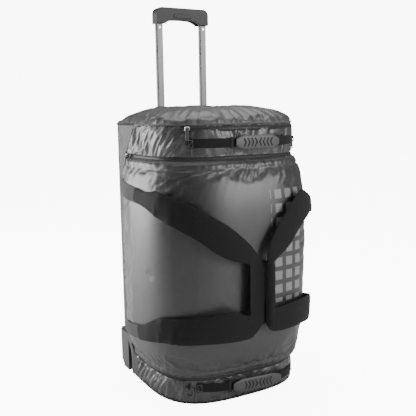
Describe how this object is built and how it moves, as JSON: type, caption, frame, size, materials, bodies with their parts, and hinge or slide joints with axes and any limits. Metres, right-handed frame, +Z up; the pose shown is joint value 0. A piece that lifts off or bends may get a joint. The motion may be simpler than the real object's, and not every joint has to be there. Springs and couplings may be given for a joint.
{
  "type": "rolling duffel bag",
  "caption": "Wheeled duffel bag standing on end, with a pull-out handle, a hinged D-shaped lid, carry handles joined by a wrap, end handles and zip pulls.",
  "frame": {"origin": "centre of the bounding box's bottom face, on the ground under the bag", "axes": "+Z up along the bag's height and the handle's travel; +Y towards the stiff back shell and the pull-out handle, so the front faces -Y; +X to the far side panel, so the lid's hinge side is -X"},
  "size_m": [0.466, 0.4762, 1.015],
  "materials": {
    "tarpaulin": "glossy coated",
    "shell_fabric": "semi-gloss coated",
    "base_fabric": "matte",
    "zip_tape": "matte",
    "webbing": "matte woven",
    "rubber": "matte",
    "tyre": "matte",
    "wheel_moulding": "satin",
    "housing": "satin",
    "grip_moulding": "satin",
    "tube": "satin anodised",
    "steel": "satin",
    "puller": "satin"
  },
  "bodies": {
    "bag": {"back_shell": "shell_fabric", "bottom_band": "tarpaulin", "bottom_panel": "base_fabric", "top_band": "tarpaulin", "top_panel": "tarpaulin", "far_side_panel": "tarpaulin", "main_zip_tape": "zip_tape", "pocket_zip_tape": "zip_tape", "pocket_zip_slider": "steel", "frame_sheet": "housing", "near_guide_tube": "tube", "far_guide_tube": "tube", "guide_foot_bracket": "housing", "handle_bezel": "grip_moulding", "near_tube_collar": "rubber", "far_tube_collar": "rubber", "near_wheel_housing": "housing", "far_wheel_housing": "housing", "near_axle": "steel", "far_axle": "steel", "near_foot": "rubber", "far_foot": "rubber", "near_back_runner": "housing", "far_back_runner": "housing", "top_handle_webbing": "webbing", "top_handle_pad": "rubber", "bottom_handle_webbing": "webbing", "bottom_handle_pad": "rubber", "top_ring_tab": "webbing", "bottom_ring_tab": "webbing"},
    "pull_handle": {"near_handle_tube": "tube", "far_handle_tube": "tube", "handle_grip": "grip_moulding", "grip_cover": "grip_moulding", "near_lock_pin": "steel", "far_lock_pin": "steel", "near_tube_rivet": "steel", "far_tube_rivet": "steel"},
    "release_button": {"release_button": "rubber"},
    "release_yoke": {"release_yoke": "steel"},
    "near_wheel": {"near_tyre": "tyre", "near_hub": "wheel_moulding", "near_inner_bearing": "steel", "near_outer_bearing": "steel"},
    "far_wheel": {"far_tyre": "tyre", "far_hub": "wheel_moulding", "far_inner_bearing": "steel", "far_outer_bearing": "steel"},
    "lid": {"lid": "tarpaulin"},
    "near_carry_handle": {"near_carry_strap": "webbing", "wrap_sleeve": "webbing"},
    "wrap_flap": {"wrap_flap": "webbing"},
    "far_carry_handle": {"far_carry_strap": "webbing"},
    "upper_zip_slider": {"upper_zip_slider": "steel"},
    "upper_zip_pull": {"upper_zip_pull": "puller"},
    "lower_zip_slider": {"lower_zip_slider": "steel"},
    "lower_zip_pull": {"lower_zip_pull": "puller"},
    "pocket_zip_pull": {"pocket_zip_pull": "puller"},
    "top_ring": {"top_ring": "steel"},
    "bottom_ring": {"bottom_ring": "steel"}
  },
  "joints": [
    {"name": "handle_slide", "type": "slide", "parent": "bag", "child": "pull_handle", "axis": [0, 0, 1], "range_m": [-0.207, 0]},
    {"name": "release_press", "type": "slide", "parent": "pull_handle", "child": "release_button", "axis": [0, 1, 0], "range_m": [0, 0.004], "stiffness_N_per_m": 300, "springref_m": -0.003},
    {"name": "yoke_slide", "type": "slide", "parent": "pull_handle", "child": "release_yoke", "axis": [0, 0, -1], "range_m": [0, 0.004], "stiffness_N_per_m": 500, "springref_m": -0.006},
    {"name": "near_wheel_spin", "type": "hinge", "parent": "bag", "child": "near_wheel", "pos_m": [-0.17197, 0.18768, 0.048], "axis": [1, 0, 0], "continuous": true},
    {"name": "far_wheel_spin", "type": "hinge", "parent": "bag", "child": "far_wheel", "pos_m": [0.17203, 0.18768, 0.048], "axis": [1, 0, 0], "continuous": true},
    {"name": "lid_hinge", "type": "hinge", "parent": "bag", "child": "lid", "pos_m": [-0.204, 0.1525, 0.3465], "axis": [0, 0, -1], "range_deg": [0, 100], "deforming": ["far_carry_strap"]},
    {"name": "near_carry_swing", "type": "hinge", "parent": "lid", "child": "near_carry_handle", "pos_m": [-0.204, 0.1525, 0.3465], "axis": [0, 0, -1], "range_deg": [0, 60]},
    {"name": "wrap_flap_hinge", "type": "hinge", "parent": "near_carry_handle", "child": "wrap_flap", "pos_m": [0.01324, -0.22322, 0.3], "axis": [0, 0, -1], "range_deg": [0, 55]},
    {"name": "far_carry_swing", "type": "hinge", "parent": "bag", "child": "far_carry_handle", "pos_m": [0.204, 0.1525, 0.3465], "axis": [0, 0, 1], "range_deg": [0, 100]},
    {"name": "upper_zip_slide", "type": "slide", "parent": "lid", "child": "upper_zip_slider", "axis": [0, -1, 0], "range_m": [0, 0.06]},
    {"name": "upper_zip_pull_hinge", "type": "hinge", "parent": "upper_zip_slider", "child": "upper_zip_pull", "pos_m": [-0.21165, 0.09085, 0.6228], "axis": [0, 1, 0], "range_deg": [-4, 140]},
    {"name": "lower_zip_slide", "type": "slide", "parent": "lid", "child": "lower_zip_slider", "axis": [0, -1, 0], "range_m": [0, 0.06]},
    {"name": "lower_zip_pull_hinge", "type": "hinge", "parent": "lower_zip_slider", "child": "lower_zip_pull", "pos_m": [-0.20997, 0.06219, 0.0758], "axis": [0, 1, 0], "range_deg": [0, 140]},
    {"name": "pocket_zip_pull_hinge", "type": "hinge", "parent": "bag", "child": "pocket_zip_pull", "pos_m": [-0.14952, -0.14239, 0.6938], "axis": [-0.8354, 0.5496, 0], "range_deg": [0, 140]},
    {"name": "top_ring_hinge", "type": "hinge", "parent": "bag", "child": "top_ring", "pos_m": [0.176, -0.11097, 0.655], "axis": [-0.5836, -0.8121, 0], "range_deg": [0, 140]},
    {"name": "bottom_ring_hinge", "type": "hinge", "parent": "bag", "child": "bottom_ring", "pos_m": [-0.1536, -0.13398, 0.052], "axis": [-0.7943, 0.6075, 0], "range_deg": [0, 140]}
  ],
  "couplings": [
    {"joint": "yoke_slide", "follows": "release_press", "ratio": 1}
  ]
}
